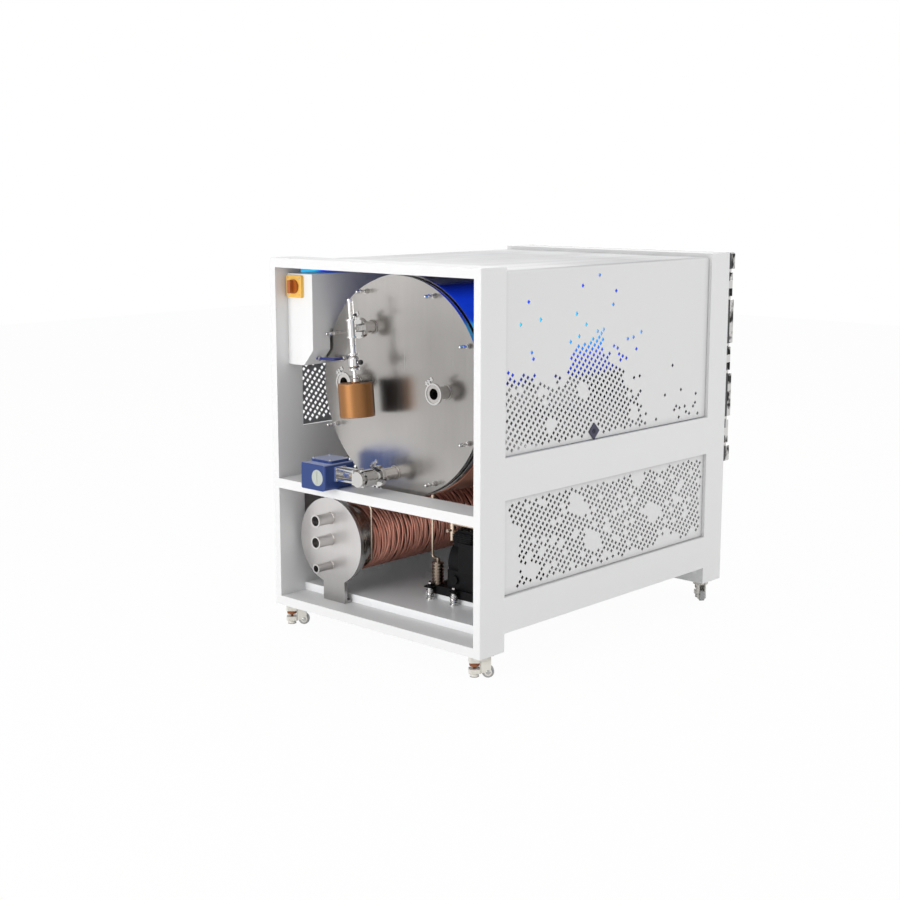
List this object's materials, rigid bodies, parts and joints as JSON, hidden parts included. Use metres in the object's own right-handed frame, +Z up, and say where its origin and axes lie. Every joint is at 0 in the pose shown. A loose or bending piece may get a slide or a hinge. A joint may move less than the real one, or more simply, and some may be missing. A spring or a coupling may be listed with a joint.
{
  "type": "freeze dryer",
  "caption": "Cabinet freeze dryer with a round steel drying chamber, hinged door, condenser, compressor and perforated side covers, on levelling castors",
  "frame": {"origin": "on the floor under the middle of the machine's bounding box", "axes": "+Z up, +Y towards the open service end, +X to the right as seen from the door"},
  "size_m": [1.03, 1.581, 1.384],
  "materials": {
    "frame_white": "satin powder coat",
    "panel_white": "satin powder coat",
    "liner_blue": "glossy, shading from navy to cyan",
    "deck_grey": "satin",
    "lock_dark": "dark coated",
    "lock_steel": "satin",
    "brushed_steel": "fine brushed",
    "polished_steel": "polished",
    "copper": "bare copper, drawn",
    "frame_black": "satin black",
    "seal_rubber": "matt",
    "isolator_yellow": "matt",
    "knob_red": "semi gloss",
    "bronze": "sintered bronze",
    "actuator_blue": "semi gloss enamel",
    "indicator_grey": "matt",
    "castor_ivory": "satin die casting",
    "wheel_grey": "matt nylon",
    "foot_orange": "matt"
  },
  "bodies": {
    "cabinet": {"post_service_left": "frame_white", "post_service_right": "frame_white", "post_door_left": "frame_white", "post_door_right": "frame_white", "side_mid_rails": "frame_white", "side_sills": "frame_white", "service_top_rail": "frame_white", "service_mid_rail": "frame_white", "service_bottom_rail": "frame_white", "door_top_rail": "frame_white", "door_bottom_rail": "frame_white", "cover_left": "panel_white", "cover_right": "panel_white", "grille_left": "panel_white", "grille_right": "panel_white", "blue_liners": "liner_blue", "deck": "deck_grey", "front_plate": "frame_white", "lock_plates": "lock_dark", "chamber_shell": "brushed_steel", "chamber_end_plate": "brushed_steel", "chamber_coil": "copper", "chamber_saddles": "frame_white", "shelf_rack": "brushed_steel", "shelves": "brushed_steel", "door_brackets": "brushed_steel", "electrical_box": "frame_white", "isolator_plate": "isolator_yellow", "vent_stack": "polished_steel", "vent_filter": "bronze", "pipe_clamps": "polished_steel", "drain_pipe": "polished_steel", "drain_valve": "polished_steel", "valve_actuator": "actuator_blue", "condenser_shell": "brushed_steel", "condenser_end_plate": "brushed_steel", "condenser_coil": "copper", "compressor": "frame_black", "refrigerant_pipes": "copper", "castor_plates": "brushed_steel"},
    "door": {"door_plate": "polished_steel", "door_frame": "frame_black", "door_gasket": "seal_rubber"},
    "latch": {"door_latch": "frame_black"},
    "panel_lock_left": {"lock_left": "lock_steel"},
    "panel_lock_right": {"lock_right": "lock_steel"},
    "isolator_switch": {"isolator_knob": "knob_red"},
    "position_indicator": {"valve_indicator": "indicator_grey"},
    "castor_body_service_left": {"castor_service_left": "castor_ivory"},
    "castor_wheel_service_left": {"wheel_service_left": "wheel_grey"},
    "castor_foot_service_left": {"foot_service_left": "foot_orange"},
    "castor_body_service_right": {"castor_service_right": "castor_ivory"},
    "castor_wheel_service_right": {"wheel_service_right": "wheel_grey"},
    "castor_foot_service_right": {"foot_service_right": "foot_orange"},
    "castor_body_door_left": {"castor_door_left": "castor_ivory"},
    "castor_wheel_door_left": {"wheel_door_left": "wheel_grey"},
    "castor_foot_door_left": {"foot_door_left": "foot_orange"},
    "castor_body_door_right": {"castor_door_right": "castor_ivory"},
    "castor_wheel_door_right": {"wheel_door_right": "wheel_grey"},
    "castor_foot_door_right": {"foot_door_right": "foot_orange"}
  },
  "joints": [
    {"name": "door_hinge", "type": "hinge", "parent": "cabinet", "child": "door", "pos_m": [-0.504, -0.7535, 0.97], "axis": [0, 0, -1], "range_deg": [0, 110]},
    {"name": "latch_turn", "type": "hinge", "parent": "door", "child": "latch", "pos_m": [0.462, -0.7735, 0.97], "axis": [0, 1, 0], "range_deg": [0, 90]},
    {"name": "panel_lock_left_turn", "type": "hinge", "parent": "cabinet", "child": "panel_lock_left", "pos_m": [-0.502, 0.10695, 0.783], "axis": [1, 0, 0], "range_deg": [0, 90]},
    {"name": "panel_lock_right_turn", "type": "hinge", "parent": "cabinet", "child": "panel_lock_right", "pos_m": [0.502, 0.10695, 0.783], "axis": [1, 0, 0], "range_deg": [0, 90]},
    {"name": "isolator_turn", "type": "hinge", "parent": "cabinet", "child": "isolator_switch", "pos_m": [0.4387, 0.6865, 1.28], "axis": [0, 1, 0], "range_deg": [0, 90]},
    {"name": "indicator_turn", "type": "hinge", "parent": "cabinet", "child": "position_indicator", "pos_m": [0.205, 0.7905, 0.6175], "axis": [0, 1, 0], "range_deg": [0, 90]},
    {"name": "swivel_service_left", "type": "hinge", "parent": "cabinet", "child": "castor_body_service_left", "pos_m": [-0.465, 0.664, 0.06], "axis": [0, 0, 1], "continuous": true},
    {"name": "roll_service_left", "type": "hinge", "parent": "castor_body_service_left", "child": "castor_wheel_service_left", "pos_m": [-0.48197, 0.64703, 0.021], "axis": [-0.7071, 0.7071, 0], "continuous": true},
    {"name": "level_service_left", "type": "slide", "parent": "castor_body_service_left", "child": "castor_foot_service_left", "axis": [0, 0, -1], "range_m": [0, 0.01]},
    {"name": "swivel_service_right", "type": "hinge", "parent": "cabinet", "child": "castor_body_service_right", "pos_m": [0.465, 0.664, 0.06], "axis": [0, 0, 1], "continuous": true},
    {"name": "roll_service_right", "type": "hinge", "parent": "castor_body_service_right", "child": "castor_wheel_service_right", "pos_m": [0.44803, 0.64703, 0.021], "axis": [-0.7071, 0.7071, 0], "continuous": true},
    {"name": "level_service_right", "type": "slide", "parent": "castor_body_service_right", "child": "castor_foot_service_right", "axis": [0, 0, -1], "range_m": [0, 0.01]},
    {"name": "swivel_door_left", "type": "hinge", "parent": "cabinet", "child": "castor_body_door_left", "pos_m": [-0.465, -0.666, 0.06], "axis": [0, 0, 1], "continuous": true},
    {"name": "roll_door_left", "type": "hinge", "parent": "castor_body_door_left", "child": "castor_wheel_door_left", "pos_m": [-0.48197, -0.64903, 0.021], "axis": [0.7071, 0.7071, 0], "continuous": true},
    {"name": "level_door_left", "type": "slide", "parent": "castor_body_door_left", "child": "castor_foot_door_left", "axis": [0, 0, -1], "range_m": [0, 0.01]},
    {"name": "swivel_door_right", "type": "hinge", "parent": "cabinet", "child": "castor_body_door_right", "pos_m": [0.465, -0.666, 0.06], "axis": [0, 0, 1], "continuous": true},
    {"name": "roll_door_right", "type": "hinge", "parent": "castor_body_door_right", "child": "castor_wheel_door_right", "pos_m": [0.48197, -0.64903, 0.021], "axis": [0.7071, -0.7071, 0], "continuous": true},
    {"name": "level_door_right", "type": "slide", "parent": "castor_body_door_right", "child": "castor_foot_door_right", "axis": [0, 0, -1], "range_m": [0, 0.01]}
  ]
}
